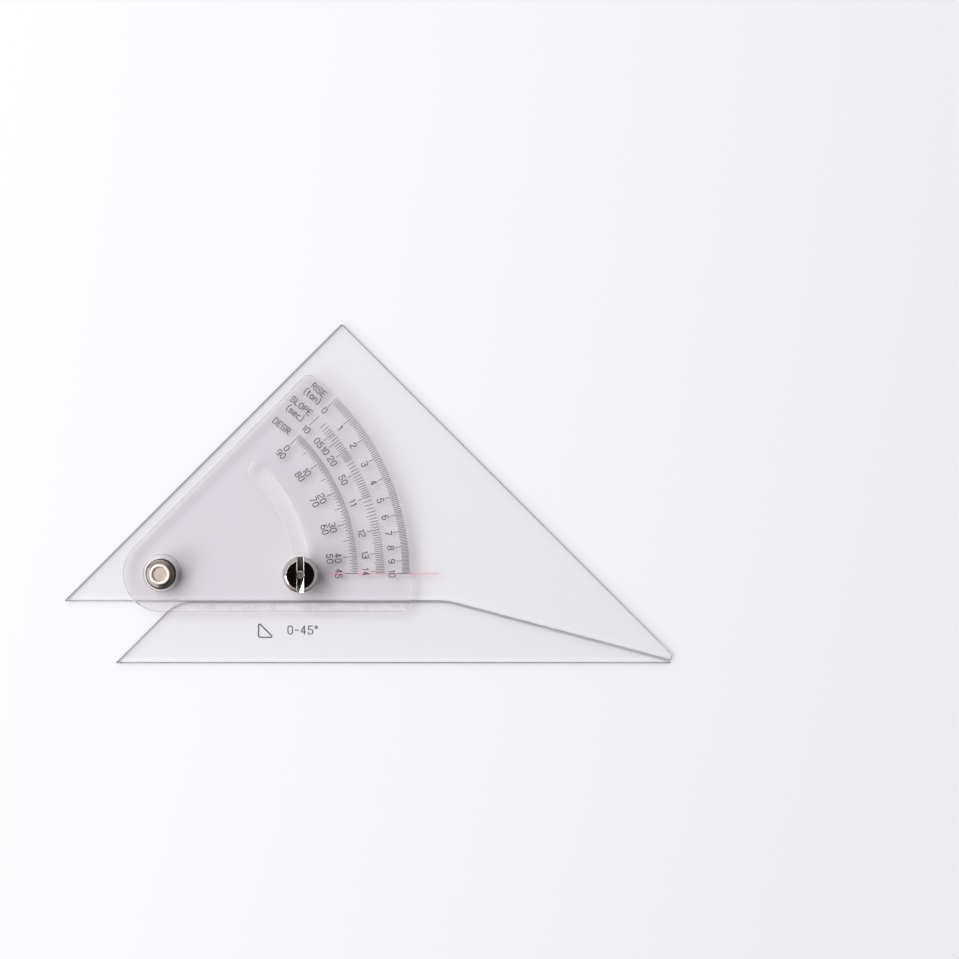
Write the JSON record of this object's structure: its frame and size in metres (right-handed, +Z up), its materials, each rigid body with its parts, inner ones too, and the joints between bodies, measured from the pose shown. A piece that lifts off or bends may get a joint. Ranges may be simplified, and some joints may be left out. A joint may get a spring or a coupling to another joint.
{
  "type": "adjustable set square",
  "caption": "Clear adjustable set square: a swing plate pivots on a base plate, set against a protractor scale and locked by a knob in an arc slot.",
  "frame": {"origin": "on the pivot axis, in the flat underside that the set square rests on", "axes": "+X along the base plate's ruling edge towards the sharp corner, +Y towards the right-angled corner, +Z up through the pivot to the clamp knob"},
  "size_m": [0.1933, 0.1074, 0.0104],
  "materials": {
    "clear_plate": "clear polished acrylic",
    "cement": "clear cement",
    "film_ring": "translucent film",
    "red_ink": "ink in a fine groove",
    "black_ink": "printed scale ink",
    "plated_metal": "bright nickel plate",
    "turned_metal": "turned nickel-plated metal"
  },
  "bodies": {
    "base": {"base_plate": "clear_plate", "protractor_plate": "clear_plate", "cement_film": "cement", "pivot_post": "turned_metal", "pivot_spacer": "film_ring", "pivot_washer": "film_ring", "pivot_collar": "plated_metal"},
    "swing": {"swing_plate": "clear_plate", "index_line": "red_ink", "clamp_screw": "turned_metal", "clamp_spacer": "film_ring"},
    "washer": {"clamp_washer": "plated_metal"},
    "knob": {"clamp_knob": "plated_metal"}
  },
  "joints": [
    {"name": "swing_hinge", "type": "hinge", "parent": "base", "child": "swing", "pos_m": [0, 0, 0.00125], "axis": [0, 0, 1], "range_deg": [0, 45]},
    {"name": "clamp_lift", "type": "slide", "parent": "swing", "child": "washer", "axis": [0, 0, 1], "range_m": [0, 0.000375]},
    {"name": "knob_turn", "type": "hinge", "parent": "washer", "child": "knob", "pos_m": [0.0441, 0, 0.0056], "axis": [0, 0, 1], "range_deg": [0, 270]}
  ],
  "couplings": [
    {"joint": "knob_turn", "follows": "clamp_lift", "rad_per_m": 12565}
  ]
}
